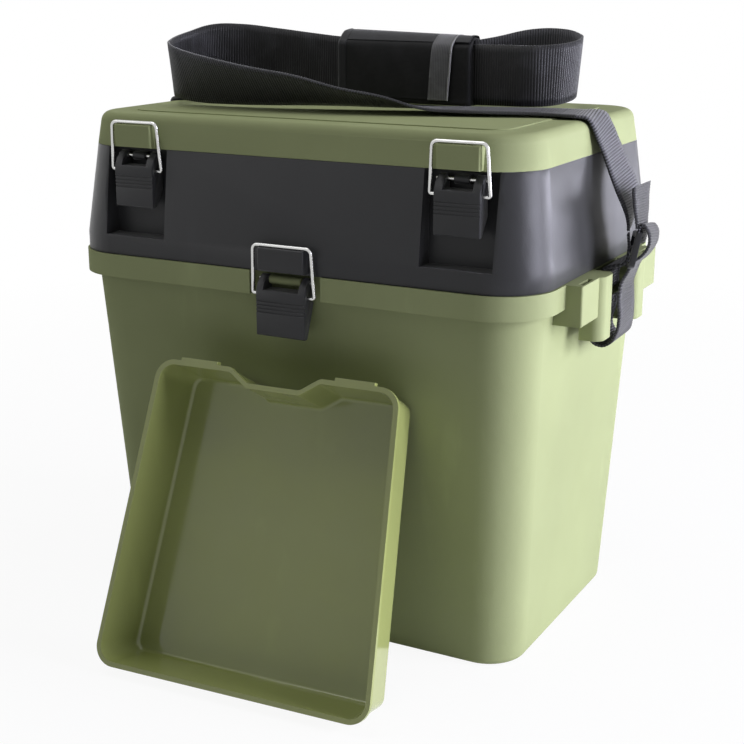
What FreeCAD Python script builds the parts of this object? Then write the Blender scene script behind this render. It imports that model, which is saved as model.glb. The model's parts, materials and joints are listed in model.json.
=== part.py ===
import FreeCAD, Part
import math
import os

# A fishing seat box: a moulded bucket, a shallow case hinged on it and a seat lid hinged on the case.
# Three lever latches with wire bails hold it shut, a webbing strap goes over it from side lugs,
# and a lift-out tray leans on its front. Millimetres; X to the right, Y to the back, Z up.
# The origin is the centre of the bucket's footprint, on the floor.

os.makedirs("parts", exist_ok=True)

# Bucket
RIM_W = 385.0            # rim, outside, left to right
RIM_D = 272.0            # rim, outside, front to back
RIM_TOP = 283.0          # height of the rim's top face
RIM_H = 17.0             # height of the rim's skirt
RIM_WALL = 2.6           # thickness of the rim's skirt and top
RIM_R = 42.0             # corner radius of the rim
OVERHANG = 7.5           # rim's reach past the bucket's wall at the top
BASE_W = 342.4           # bucket at the floor, left to right
BASE_D = 215.0           # bucket at the floor, front to back
BASE_R = 30.0            # corner radius at the floor
BASE_ROUND = 5.0         # rounding where the walls meet the floor
WALL = 2.8               # bucket wall
FLOOR = 3.2              # bucket floor

# Case, the shallow upper box
GAP = 0.3                # gap at each parting line
CASE_STEP = 1.5          # case set back from the rim's outer face
CASE_BAND = 13.0         # height of the case's upright lower band
CASE_TAPER = 8.25        # the case draws in this much on each side above the band
CASE_H = 80.0            # height of the case from the rim to the lid's seam
CASE_WALL = 2.6
CASE_FLOOR = 3.0
SEAM_R = 38.0            # corner radius at the seam
LIP = 6.0                # depth of the lips that centre the case and the lid
LIP_WALL = 2.0
LIP_GAP = 0.9

# Lid
LID_H = 24.0             # height of the lid's shell above the seam
LID_DRAFT = 4.2          # the lid draws in this much on each side
LID_ROUND = 8.0          # rounding of the lid's top edge
LID_WALL = 2.6
LID_TOP = 3.0
PANEL_RAISE = 0.8        # raised panel on the lid
PANEL_MARGIN = 24.0      # from the lid's top edge to the panel
PANEL_R = 16.0
RIB = 2.0                # ribs under the lid
RIB_DEPTH = 9.0

# Latches, each measured from its lever's pin
LATCH_X = 131.0          # the two upper latches stand this far from the centre latch
LATCH_SHIFT = 4.2        # the row of latches stands this far right of the middle
PIN_R = 1.5
PIN_END = 2.2            # pin's ends stand out of the lever's sides
PIN_FIT = 0.05           # running clearance round a pin
PIN_INSET = 3.6          # pin's depth behind the face that carries the latch
PIN_DROP = 6.0           # upper latches: pin's depth below the seam
PIN_DROP_LOW = 5.3       # centre latch: pin's depth below the rim's top
LEVER_W = 33.4           # upper levers
LEVER_W_LOW = 39.6       # centre lever
LEVER_DOWN = 36.8        # pin to the lever's lower end
LEVER_DOWN_LOW = 39.6
KNUCKLE = 3.6            # lever's radius round its pin
LEVER_BACK = 3.2         # lever's thickness behind the pin
LEVER_NOSE = 10.0        # reach of the lever's face in front of the pin
LEVER_BROW = 7.3         # and at its upper edge
NOSE_DOWN = 7.5          # the face starts this far below the pin
LEVER_THICK = 24.0       # upper levers thin below this depth under the pin
LEVER_THICK_LOW = 15.0
LEVER_TIP = 4.4          # thickness of its tip, which a finger goes behind
WINDOW_W = 22.0          # opening in the lever's top
WINDOW_W_LOW = 29.0
WINDOW_DOWN = 6.5
GRIP_SIDE = -1.0         # grip lines run out past the lever's sides
GRIP_DEEP = 0.6
POST_R = 3.2             # moulded post that holds the pin's middle, in the window
POST_W = 10.6            # width of that post, upper latches
POST_W_LOW = 26.0        # and on the bucket
WIRE_R = 1.3             # bail wire
WIRE_FIT = 0.1
BAIL_OUT = 5.0           # bail's holes lie this far in front of the pin
BAIL_DOWN = 10.0         # and this far below it
BAIL_LEAN = 1.8          # the bail leans out by this much at its top
BAR_UP = 25.0            # height of the bail's bar above the pin
BAR_UP_LOW = 25.4
BAIL_SIDE = 1.8          # gap between the lever's side and the wire, at the bar
BAIL_SIDE_LOW = 2.6
BAIL_FLARE = 2.1         # the bail's legs spread by this much, from the bar to the hooks
BAIL_FLARE_LOW = 1.6
HOOK_IN = 5.0            # the wire's hooked ends go this far into the lever
BEND_R = 4.0             # bail's upper corners
HOOK_R = 1.5             # bail's lower corners
BOSS_W = 31.4            # catch that the bail hooks over
BOSS_W_LOW = 37.4
BOSS_LOW = 7.0           # catch's lower face above the pin
BOSS_FIT = 0.25          # gap between the catch and the bar
BOSS_OUT = 9.6           # catch's front face in front of the pin
POCKET_SIDE = 9.8        # room beside the lever in its pocket
NOTCH_SIDE = 9.4         # room beside the centre lever in the rim's notch
POCKET_LOW = 2.0         # pocket's lower end above the case's band
POCKET_REAR = 1.0        # gap between the lever and the pocket's back
RELIEF = 0.8             # room round the centre lever's top, under the case
CHEEK = 3.0              # walls beside the centre latch's notch

# Hinges at the back
HINGE_X = 118.0          # middle of each hinge
HINGE_L = 58.0           # length of each hinge
HINGE_MID = 28.0         # length of the middle knuckle
HINGE_SIDE = 0.4         # gap between knuckles
HINGE_R = 4.5
HINGE_PIN_R = 2.0
HINGE_CLEAR = 0.5        # gap between a knuckle and the wall behind it
ARM_DEEP = 9.0           # height of the web that carries a knuckle

# Strap lugs on the bucket's sides
LUG_GAP = 48.6           # room for the webbing
LUG_MID = 5.8            # middle of the gap, behind the bucket's middle
LUG_POST = 26.0          # length of each post beside the gap
LUG_SIDE = 32.0          # length of the block beyond each post
LUG_OUT = 12.0           # block's reach past the rim
POST_OUT = 15.5          # post's reach past the rim
LUG_LOW = 29.0           # block's depth below the rim's top
POST_LOW = 46.0          # post's depth below the rim's top
POST_ROUND = 8.0
POST_BACK = 1.0          # post's back face inside the rim's face
LUG_ROUND = 1.5          # rounding of the block's edges
SLOT_L = 20.0            # slot in the block's top
SLOT_W = 3.6
SLOT_DEEP = 12.0
BAR_R = 2.5              # strap bar
BAR_OUT = 7.5            # bar's middle past the rim's face
BAR_LOW = 18.0           # bar's middle below the rim's top
BAR_IN = 10.0            # bar's ends go this far into the posts

# Lift-out tray
TRAY_W_LOW = 218.0       # tray's mouth, at the end on the floor
TRAY_W_TOP = 190.0       # and at the end with the finger bay
TRAY_L = 223.0
TRAY_DEEP = 42.0
TRAY_DRAFT = 6.0         # the tray's walls draw in this much on each side
TRAY_WALL = 2.4
TRAY_LIP = 3.6           # width of the rim round the mouth
TRAY_LIP_H = 3.0
TRAY_R = 14.0
TRAY_ROUND = 4.0         # rounding where the tray's floor meets its walls
TRAY_FOOT_R = 8.0        # corner radius at the tray's floor
BAY_W = 72.0             # finger bay, at the mouth
BAY_FLAT = 42.0          # its straight middle
BAY_DEEP = 10.0
TAB_W = 30.0             # tabs beside the bay
TAB_OUT = 3.5
TAB_H = 5.0
TAB_X = 62.0             # middle of each tab
TRAY_LEAN = 21.0         # degrees off upright
TRAY_TURN = 2.8          # degrees, seen from above
TRAY_X = 13.0            # middle of the tray's foot, right of the bucket's middle
TRAY_TOUCH = 0.45        # gap where the tray leans on the bucket

# Strap: flat webbing, and the tri-glide buckle on each side
WEB_T = 2.0              # thickness of the webbing
BUCKLE_W = 51.0          # across the webbing
BUCKLE_H = 27.0          # along it
BUCKLE_T = 4.5
BUCKLE_SIDE = 2.6        # frame beside the webbing
BUCKLE_BAR = 4.0         # its three bars
STRAP_PLAN_W = 385.0     # the rim's width when the strap's points below were laid out
STRAP_PLAN_END = 150.0   # points beyond this keep their distance to the rim's sides
BUCKLE_AT = (212.6, 7.0, 295.6)
BUCKLE_AIM = (-0.30, 0.94, -0.16)      # along its width
BUCKLE_UP = (-0.14, 0.12, 0.98)        # along its height

# The webbing's two edges, as guide points for a smooth ribbon: front or upper edge, then the other.
# The strap stands on its edge in two loops on the lid, as it was laid down.
STRAP_TOP = (
    ((170.9, -12.6, 389.7), (161.5, 31.4, 390.3)), ((143.0, -17.0, 390.6), (130.0, 26.0, 390.4)),
    ((113.7, -28.8, 391.2), (101.0, 14.0, 390.6)), ((90.2, -36.3, 391.6), (75.0, 6.0, 390.6)),
    ((66.7, -45.7, 393.5), (50.0, -4.0, 390.4)), ((40.0, -55.2, 401.5), (25.0, -14.0, 390.6)),
    ((7.9, -64.7, 407.4), (-5.0, -24.0, 391.2)), ((-25.0, -70.7, 415.2), (-35.0, -33.0, 391.2)),
    ((-60.0, -73.0, 420.0), (-65.0, -41.0, 390.6)), ((-93.0, -72.0, 425.0), (-95.0, -45.0, 390.2)),
    ((-126.0, -66.0, 430.4), (-125.0, -46.0, 390.4)), ((-144.0, -57.5, 434.0), (-145.0, -44.0, 392.4)),
    ((-156.0, -39.0, 437.0), (-160.0, -30.0, 394.0)), ((-159.0, -9.0, 442.0), (-164.0, -7.0, 397.8)),
    ((-151.5, 15.0, 447.0), (-154.5, 14.0, 402.0)), ((-134.0, 28.5, 447.0), (-135.0, 28.0, 402.0)),
    ((-105.0, 36.0, 444.0), (-106.0, 36.0, 399.0)), ((-70.0, 38.0, 440.5), (-72.0, 38.0, 395.5)),
    ((-45.0, 37.0, 438.5), (-46.0, 37.0, 393.5)), ((15.0, 32.0, 436.5), (15.0, 32.0, 391.5)),
    ((73.0, 26.5, 435.5), (73.0, 26.5, 390.9)), ((100.0, 22.0, 436.0), (100.0, 22.5, 391.4)),
    ((120.0, 20.5, 436.0), (120.0, 21.0, 391.8)), ((135.0, 28.0, 436.5), (134.0, 28.0, 392.2)),
    ((145.0, 44.0, 438.0), (142.5, 43.0, 394.0)), ((146.5, 62.0, 440.5), (143.5, 60.0, 396.5)),
    ((138.0, 79.0, 443.0), (135.5, 77.0, 398.5)), ((122.0, 90.0, 445.5), (121.0, 89.0, 401.0)),
    ((96.0, 92.0, 445.0), (97.0, 92.0, 400.0)), ((68.0, 86.0, 439.0), (69.0, 88.0, 394.2)),
    ((38.0, 72.0, 432.0), (36.0, 88.0, 390.4)), ((5.0, 54.0, 417.0), (-2.0, 89.0, 390.2)),
    ((-32.0, 52.0, 402.0), (-38.0, 95.0, 390.4)), ((-74.0, 46.0, 393.2), (-68.0, 90.6, 390.2)),
    ((-114.0, 29.0, 390.6), (-100.0, 71.8, 390.2)), ((-145.0, 6.0, 390.3), (-132.6, 49.3, 390.3)),
    ((-170.9, -12.6, 389.7), (-161.5, 31.4, 390.3)),
)
STRAP_SIDE = (
    ((171.2, -12.5, 389.6), (161.8, 31.5, 390.2)), ((178.9, -9.5, 387.9), (169.0, 34.5, 390.4)),
    ((182.2, -7.5, 382.2), (175.8, 37.0, 389.0)), ((185.4, -6.5, 374.5), (180.6, 38.0, 381.9)),
    ((189.5, -6.1, 366.1), (186.4, 38.6, 370.0)), ((197.5, -9.0, 350.1), (195.0, 35.6, 355.4)),
    ((204.0, -9.8, 336.4), (202.5, 35.0, 340.5)), ((209.0, -10.2, 326.9), (204.8, 34.6, 326.7)),
    ((212.4, -11.4, 318.6), (203.2, 31.4, 313.6)), ((214.0, -13.5, 312.1), (200.8, 28.7, 305.0)),
)
STRAP_LOOP = (
    ((214.2, -13.8, 310.6), (200.9, 28.4, 303.5)), ((215.6, -15.3, 298.9), (202.2, 27.0, 291.9)),
    ((213.4, -16.4, 289.0), (202.0, 27.0, 287.2)), ((204.0, -17.2, 286.0), (200.0, 27.2, 285.8)),
    ((197.4, -17.4, 283.0), (197.0, 27.4, 283.0)), ((195.2, -17.4, 276.0), (195.2, 27.4, 276.0)),
    ((195.0, -17.4, 262.0), (195.0, 27.4, 262.0)), ((192.6, -17.4, 247.0), (193.4, 27.4, 247.0)),
    ((189.8, -17.4, 237.0), (191.6, 27.4, 238.0)), ((191.0, -17.0, 230.4), (193.6, 27.6, 231.0)),
    ((196.6, -16.6, 227.0), (199.0, 28.0, 227.8)), ((203.6, -16.2, 228.6), (204.4, 28.2, 230.4)),
    ((208.8, -16.2, 236.5), (206.8, 28.4, 238.0)), ((211.0, -16.6, 247.0), (207.4, 28.2, 248.0)),
    ((210.4, -17.4, 264.0), (207.0, 27.2, 262.0)), ((211.6, -17.0, 275.0), (206.4, 27.6, 268.6)),
    ((219.4, -14.6, 280.4), (210.2, 29.4, 273.2)), ((225.2, -12.0, 287.6), (214.4, 31.2, 280.4)),
    ((228.2, -11.6, 299.0), (219.6, 32.2, 292.0)), ((228.4, -13.5, 309.5), (222.4, 30.5, 302.6)),
    ((225.4, -14.8, 317.5), (219.6, 29.2, 312.0)), ((221.2, -16.0, 321.0), (215.8, 28.2, 316.4)),
    ((219.6, -18.4, 327.5), (215.2, 26.2, 323.5)), ((219.4, -22.0, 336.0), (216.0, 22.8, 333.6)),
    ((219.8, -25.2, 344.6), (217.4, 19.6, 343.6)),
)

# Shoulder pad, a stitched sleeve that stands over the strap
PAD_ROOM = 3.4           # slot for the webbing
PAD_FLAP = 1.4           # thickness of the flap wrapped over it
PAD_FLAP_END = 0.80      # the flap ends at this share of the pad's length
PAD_CORNER = 4.0

X_AXIS = FreeCAD.Vector(1, 0, 0)
Y_AXIS = FreeCAD.Vector(0, 1, 0)
Z_AXIS = FreeCAD.Vector(0, 0, 1)

# Sizes that follow from those above
TOP_W = RIM_W - 2 * OVERHANG
TOP_D = RIM_D - 2 * OVERHANG
TOP_R = RIM_R - OVERHANG
CASE_Z = RIM_TOP + GAP
BAND_TOP = RIM_TOP + CASE_BAND
SEAM_Z = RIM_TOP + CASE_H
CASE_W = RIM_W - 2 * CASE_STEP
CASE_D = RIM_D - 2 * CASE_STEP
CASE_R = RIM_R - CASE_STEP
SEAM_W = CASE_W - 2 * CASE_TAPER
SEAM_D = CASE_D - 2 * CASE_TAPER
LID_Z = SEAM_Z + GAP
LID_W = SEAM_W - 2 * LID_DRAFT
LID_D = SEAM_D - 2 * LID_DRAFT
LID_R = SEAM_R - LID_DRAFT
SHELL_TOP = SEAM_Z + LID_H
# the pad's left and right ends: front and back line in plan, then its low edge and its top's two heights
PAD_LEFT = ((-46.0, 27.0), (-46.0, 47.0), SHELL_TOP + 3.0, SHELL_TOP + 47.5, SHELL_TOP + 57.0)
PAD_RIGHT = ((73.0, 17.0), (73.0, 36.0), SHELL_TOP + 3.6, SHELL_TOP + 46.5, SHELL_TOP + 51.5)
SEAT_Z = SHELL_TOP + PANEL_RAISE
POCKET_W = LEVER_W + 2 * POCKET_SIDE
UPPER_PIN = (-SEAM_D / 2 + PIN_INSET, SEAM_Z - PIN_DROP)
LOWER_PIN = (-RIM_D / 2 + PIN_INSET, RIM_TOP - PIN_DROP_LOW)
UPPER = {"pin": UPPER_PIN, "lever": LEVER_W, "down": LEVER_DOWN, "window": WINDOW_W,
         "side": BAIL_SIDE, "flare": BAIL_FLARE, "up": BAR_UP, "boss": BOSS_W,
         "thick": LEVER_THICK, "reach": LEVER_W / 2 + PIN_END}
LOWER = {"pin": LOWER_PIN, "lever": LEVER_W_LOW, "down": LEVER_DOWN_LOW, "window": WINDOW_W_LOW,
         "side": BAIL_SIDE_LOW, "flare": BAIL_FLARE_LOW, "up": BAR_UP_LOW, "boss": BOSS_W_LOW,
         "thick": LEVER_THICK_LOW, "reach": LEVER_W_LOW / 2 + PIN_END}
UPPER_AT = (LATCH_SHIFT - LATCH_X, LATCH_SHIFT + LATCH_X)
NOTCH_W = LEVER_W_LOW + 2 * NOTCH_SIDE
CASE_AXIS = (RIM_D / 2 + HINGE_CLEAR + HINGE_R, RIM_TOP + GAP / 2)
LID_AXIS = (SEAM_D / 2 + HINGE_CLEAR + HINGE_R, SEAM_Z + GAP / 2)
BAR_X = RIM_W / 2 + BAR_OUT
BAR_Z = RIM_TOP - BAR_LOW


def vec(x, y, z):
    return FreeCAD.Vector(x, y, z)


def box(x0, x1, y0, y1, z0, z1):
    return Part.makeBox(x1 - x0, y1 - y0, z1 - z0, vec(x0, y0, z0))


def rod(radius, x0, x1, y, z):
    """A round bar along X."""
    return Part.makeCylinder(radius, x1 - x0, vec(x0, y, z), X_AXIS)


def rounded(w, d, r, z):
    """A w by d rectangle with corner radius r, round the Z axis at height z."""
    x, y, k = w / 2, d / 2, r * (1 - math.sqrt(0.5))
    line = Part.LineSegment
    edges = []
    for sx, sy in ((1, -1), (1, 1), (-1, 1), (-1, -1)):
        along_y = sx == sy
        a = vec(sx * x, sy * (y - r), z)
        m = vec(sx * (x - k), sy * (y - k), z)
        b = vec(sx * (x - r), sy * y, z)
        if along_y:
            edges.append(Part.Arc(a, m, b))
        else:
            edges.append(Part.Arc(b, m, a))
    sides = []
    for n, arc in enumerate(edges):
        sides.append(arc.toShape())
        start = arc.EndPoint
        end = edges[(n + 1) % 4].StartPoint
        sides.append(line(start, end).toShape())
    return Part.Wire(sides)


def taper(low, high):
    """A solid between two rounded rectangles, each given as (w, d, r, z)."""
    return Part.makeLoft([rounded(*low), rounded(*high)], True, True)


def slab(w, d, r, z0, z1):
    return Part.Face(rounded(w, d, r, z0)).extrude(vec(0, 0, z1 - z0))


def between(low, high, z):
    """The rounded rectangle at height z on the straight taper from low to high."""
    t = (z - low[3]) / (high[3] - low[3])
    return tuple(a + t * (b - a) for a, b in zip(low[:3], high[:3])) + (z,)


def inset(size, by):
    w, d, r, z = size
    return (w - 2 * by, d - 2 * by, max(r - by, 1.0), z)


def mirrored(shape):
    return shape.mirror(vec(0, 0, 0), X_AXIS)


def edges_at(shape, test):
    return [e for e in shape.Edges if all(test(v.Point) for v in e.Vertexes)]


BUCKET_LOW = (BASE_W, BASE_D, BASE_R, 0.0)
BUCKET_HIGH = (TOP_W, TOP_D, TOP_R, RIM_TOP)
CASE_LOW = (CASE_W, CASE_D, CASE_R, BAND_TOP)
CASE_HIGH = (SEAM_W, SEAM_D, SEAM_R, SEAM_Z)
LID_LOW = (SEAM_W, SEAM_D, SEAM_R, LID_Z)
LID_HIGH = (LID_W, LID_D, LID_R, SHELL_TOP)


# Latches

def lever(latch):
    """The black lever, with two knuckles on its pin and holes for the bail's ends."""
    y, z = latch["pin"]
    wide = latch["lever"]
    nose, back = y - LEVER_NOSE, y + LEVER_BACK
    foot = z - latch["down"]
    outline = [
        vec(0, back, z), vec(0, back, z - latch["thick"]), vec(0, nose + LEVER_TIP, foot + 0.6),
        vec(0, nose + LEVER_TIP - 0.6, foot), vec(0, nose + 0.6, foot), vec(0, nose, foot + 0.8),
        vec(0, nose, z - NOSE_DOWN), vec(0, y - LEVER_BROW, z - 1.6),
        vec(0, y - KNUCKLE * 0.7, z + KNUCKLE * 0.7), vec(0, y, z),
    ]
    side = Part.Face(Part.makePolygon(outline + outline[:1]))
    side.translate(vec(-wide / 2, 0, 0))
    body = side.extrude(vec(wide, 0, 0))
    body = body.fuse(rod(KNUCKLE, -wide / 2, wide / 2, y, z)).removeSplitter()
    half = latch["window"] / 2
    body = body.cut(box(-half, half, nose - 1, back + 1, z - WINDOW_DOWN, z + KNUCKLE + 1))
    for n in range(4):
        low = z - BAIL_DOWN - 5.0 - 2.6 * n
        body = body.cut(box(GRIP_SIDE - wide / 2, wide / 2 - GRIP_SIDE, nose - 1, nose + GRIP_DEEP,
                            low, low + 1.2))
    body = body.cut(rod(PIN_R + PIN_FIT, -wide, wide, y, z))
    hole = WIRE_R + WIRE_FIT
    deep = wide / 2 - HOOK_IN - 0.5
    for x0, x1 in ((-wide, -deep), (deep, wide)):
        body = body.cut(rod(hole, x0, x1, y - BAIL_OUT, z - BAIL_DOWN))
    return body


def corner_arc(before, at, after, r):
    """The tangent arc that rounds a corner, and its two ends."""
    a, b = before - at, after - at
    a.normalize()
    b.normalize()
    half = math.acos(max(-1.0, min(1.0, a.dot(b)))) / 2
    cut = r / math.tan(half)
    middle = a + b
    middle.normalize()
    centre = at + middle * (r / math.sin(half))
    start, end = at + a * cut, at + b * cut
    return Part.Arc(start, centre - middle * r, end).toShape(), start, end


def wire_path(corners):
    """An open wire through corners, each (x, height, radius), rounded between its ends."""
    points = [vec(x, 0, high) for x, high, _ in corners]
    edges, last = [], points[0]
    for n in range(1, len(points) - 1):
        arc, start, end = corner_arc(points[n - 1], points[n], points[n + 1], corners[n][2])
        edges += [Part.LineSegment(last, start).toShape(), arc]
        last = end
    edges.append(Part.LineSegment(last, points[-1]).toShape())
    return Part.Wire(edges)


def bail(latch):
    """The steel wire bail: two hooked ends in the lever, two legs and a bar."""
    pin = latch["pin"]
    tall = math.hypot(latch["up"] + BAIL_DOWN, BAIL_LEAN)
    leg = latch["lever"] / 2 + latch["side"] + WIRE_R
    tip = latch["lever"] / 2 - HOOK_IN
    half = [(tip, 0, 0), (leg + latch["flare"], 0, HOOK_R), (leg, tall, BEND_R)]
    path = wire_path(half + [(-x, high, r) for x, high, r in reversed(half)])
    section = Part.Wire([Part.makeCircle(WIRE_R, vec(tip, 0, 0), X_AXIS)])
    wire = path.makePipeShell([section], True, False)
    lean = math.degrees(math.atan2(BAIL_LEAN, latch["up"] + BAIL_DOWN))
    wire.rotate(vec(0, 0, 0), X_AXIS, lean)
    wire.translate(vec(0, pin[0] - BAIL_OUT, pin[1] - BAIL_DOWN))
    return wire


def catch(latch, back):
    """The block that a bail's bar hooks over, from its front face to the wall at back."""
    y, z = latch["pin"]
    top = z + latch["up"] - WIRE_R - BOSS_FIT
    half = latch["boss"] / 2
    block = box(-half, half, y - BOSS_OUT, back, z + BOSS_LOW, top)
    front = edges_at(block, lambda p: abs(p.y - (y - BOSS_OUT)) < 0.01)
    return block.makeFillet(1.2, front)


def pin_post(pin, width, back, top):
    """The post in the lever's window, from the wall at back round the pin."""
    y, z = pin
    post = rod(POST_R, -width / 2, width / 2, y, z)
    post = post.fuse(box(-width / 2, width / 2, y, back, z - POST_R, z + POST_R))
    return post.common(box(-width, width, y - 9, back, z - 9, top)).removeSplitter()


def latch_pin(latch):
    return rod(PIN_R, -latch["reach"], latch["reach"], *latch["pin"])


def moved(shape, x):
    copy = shape.copy()
    copy.translate(vec(x, 0, 0))
    return copy


# Hinges

def knuckles(x0, x1, axis, bore):
    """Barrels of a hinge between x0 and x1, on both sides of the middle, with their bore cut later."""
    barrel = rod(HINGE_R, x0, x1, *axis)
    return barrel, rod(bore, x0 - 1, x1 + 1, *axis)


def hinge_outer(axis, wall_y):
    """The two end knuckles and their webs, below the axis, for the piece that holds the pin."""
    out, bores = [], []
    for x0, x1 in ((HINGE_X - HINGE_L / 2, HINGE_X - HINGE_MID / 2 - HINGE_SIDE),
                   (HINGE_X + HINGE_MID / 2 + HINGE_SIDE, HINGE_X + HINGE_L / 2)):
        barrel, bore = knuckles(x0, x1, axis, HINGE_PIN_R)
        web = box(x0, x1, wall_y, axis[0], axis[1] - ARM_DEEP, axis[1] - 1)
        out.append(barrel.fuse(web))
        bores.append(bore)
    return out, bores


def hinge_inner(axis, wall_y):
    """The middle knuckle and its web, above the axis, for the piece that swings."""
    x0, x1 = HINGE_X - HINGE_MID / 2, HINGE_X + HINGE_MID / 2
    barrel, bore = knuckles(x0, x1, axis, HINGE_PIN_R + PIN_FIT)
    web = box(x0, x1, wall_y, axis[0], axis[1] + GAP, axis[1] + ARM_DEEP)
    return [barrel.fuse(web)], [bore]


def with_hinges(body, parts):
    add, bores = parts
    for piece in add:
        body = body.fuse(piece).fuse(mirrored(piece))
    for bore in bores:
        body = body.cut(bore).cut(mirrored(bore))
    return body


def hinge_pin(axis):
    return rod(HINGE_PIN_R, HINGE_X - HINGE_L / 2, HINGE_X + HINGE_L / 2, *axis)


# Bucket

def lug():
    """A strap lug on the right side: two blocks with posts, and a gap between for the webbing."""
    face = RIM_W / 2
    root = face - OVERHANG - 4
    g0, g1 = LUG_MID - LUG_GAP / 2, LUG_MID + LUG_GAP / 2
    low, post_low = RIM_TOP - LUG_LOW, RIM_TOP - POST_LOW
    out = []
    for y0, y1, side in ((g0 - LUG_POST - LUG_SIDE, g0, -1), (g1, g1 + LUG_POST + LUG_SIDE, 1)):
        block = box(root, face + LUG_OUT, y0, y1, low, RIM_TOP)
        end = y0 if side < 0 else y1
        soft = [e for e in block.Edges
                if all(p.X > face + LUG_OUT - 0.01 and (p.Z < low + 0.01 or abs(p.Y - end) < 0.01)
                       for p in e.Vertexes)]
        block = block.makeFillet(LUG_ROUND, soft)
        p0, p1 = (g0 - LUG_POST, g0) if side < 0 else (g1, g1 + LUG_POST)
        post = box(face - POST_BACK, face + POST_OUT, p0, p1, post_low, RIM_TOP)
        rounds = edges_at(post, lambda p: p.x > face + POST_OUT - 0.01)
        upright = [e for e in rounds if abs(e.Vertexes[0].Z - e.Vertexes[1].Z) > 1]
        post = post.makeFillet(POST_ROUND, upright)
        piece = block.fuse(post).removeSplitter()
        mid = (y0 + p0) / 2 if side < 0 else (p1 + y1) / 2
        reach = SLOT_L / 2
        slot_x = face + LUG_OUT - 2.0 - SLOT_W
        piece = piece.cut(box(slot_x, slot_x + SLOT_W, mid - reach, mid + reach,
                              RIM_TOP - SLOT_DEEP, RIM_TOP + 1))
        out.append(piece)
    return out


def bucket():
    outer = taper(BUCKET_LOW, BUCKET_HIGH)
    foot = edges_at(outer, lambda p: p.z < 0.01)
    outer = outer.makeFillet(BASE_ROUND, foot)
    rim = slab(RIM_W, RIM_D, RIM_R, RIM_TOP - RIM_H, RIM_TOP)
    rim = rim.cut(slab(RIM_W - 2 * RIM_WALL, RIM_D - 2 * RIM_WALL, RIM_R - RIM_WALL,
                       RIM_TOP - RIM_H, RIM_TOP - RIM_WALL))
    body = outer.fuse(rim)
    for piece in lug():
        body = body.fuse(piece).fuse(mirrored(piece))

    # the centre latch's notch, with a cheek on each side
    half = NOTCH_W / 2
    notch = box(-half, half, -RIM_D / 2 - 1, -TOP_D / 2, RIM_TOP - RIM_H - 1, RIM_TOP + 1)
    body = body.cut(moved(notch, LATCH_SHIFT))
    for side in (-1, 1):
        x0, x1 = sorted((side * half, side * (half + CHEEK)))
        cheek = box(x0, x1, -RIM_D / 2, -TOP_D / 2 + 1, RIM_TOP - RIM_H, RIM_TOP)
        body = body.fuse(moved(cheek, LATCH_SHIFT))
    post = pin_post(LOWER_PIN, POST_W_LOW, -TOP_D / 2 + 1, RIM_TOP)
    body = body.fuse(moved(post, LATCH_SHIFT))
    body = body.cut(moved(latch_pin(LOWER), LATCH_SHIFT))

    inner_low = inset(between(BUCKET_LOW, BUCKET_HIGH, FLOOR), WALL)
    inner_high = inset(between(BUCKET_LOW, BUCKET_HIGH, RIM_TOP + 1), WALL)
    hollow = taper(inner_low, inner_high)
    floor_edge = edges_at(hollow, lambda p: p.z < FLOOR + 0.01)
    body = body.cut(hollow.makeFillet(BASE_ROUND, floor_edge))

    bar_hole = Part.makeCylinder(BAR_R, LUG_GAP + 2 * BAR_IN,
                                 vec(BAR_X, LUG_MID - LUG_GAP / 2 - BAR_IN, BAR_Z), Y_AXIS)
    body = body.cut(bar_hole).cut(mirrored(bar_hole))
    return with_hinges(body, hinge_outer(CASE_AXIS, RIM_D / 2 - RIM_WALL / 2)).removeSplitter()


def strap_bar():
    return Part.makeCylinder(BAR_R, LUG_GAP + 2 * BAR_IN,
                             vec(BAR_X, LUG_MID - LUG_GAP / 2 - BAR_IN, BAR_Z), Y_AXIS)


# Case

def pocket(x, grow):
    """The pocket of an upper latch; grown by the wall, it is the bulge inside the case."""
    half = POCKET_W / 2 + grow
    rear = UPPER_PIN[0] + LEVER_BACK + POCKET_REAR + grow
    return box(x - half, x + half, -CASE_D, rear, BAND_TOP + POCKET_LOW - grow, SEAM_Z + 1)


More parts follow.
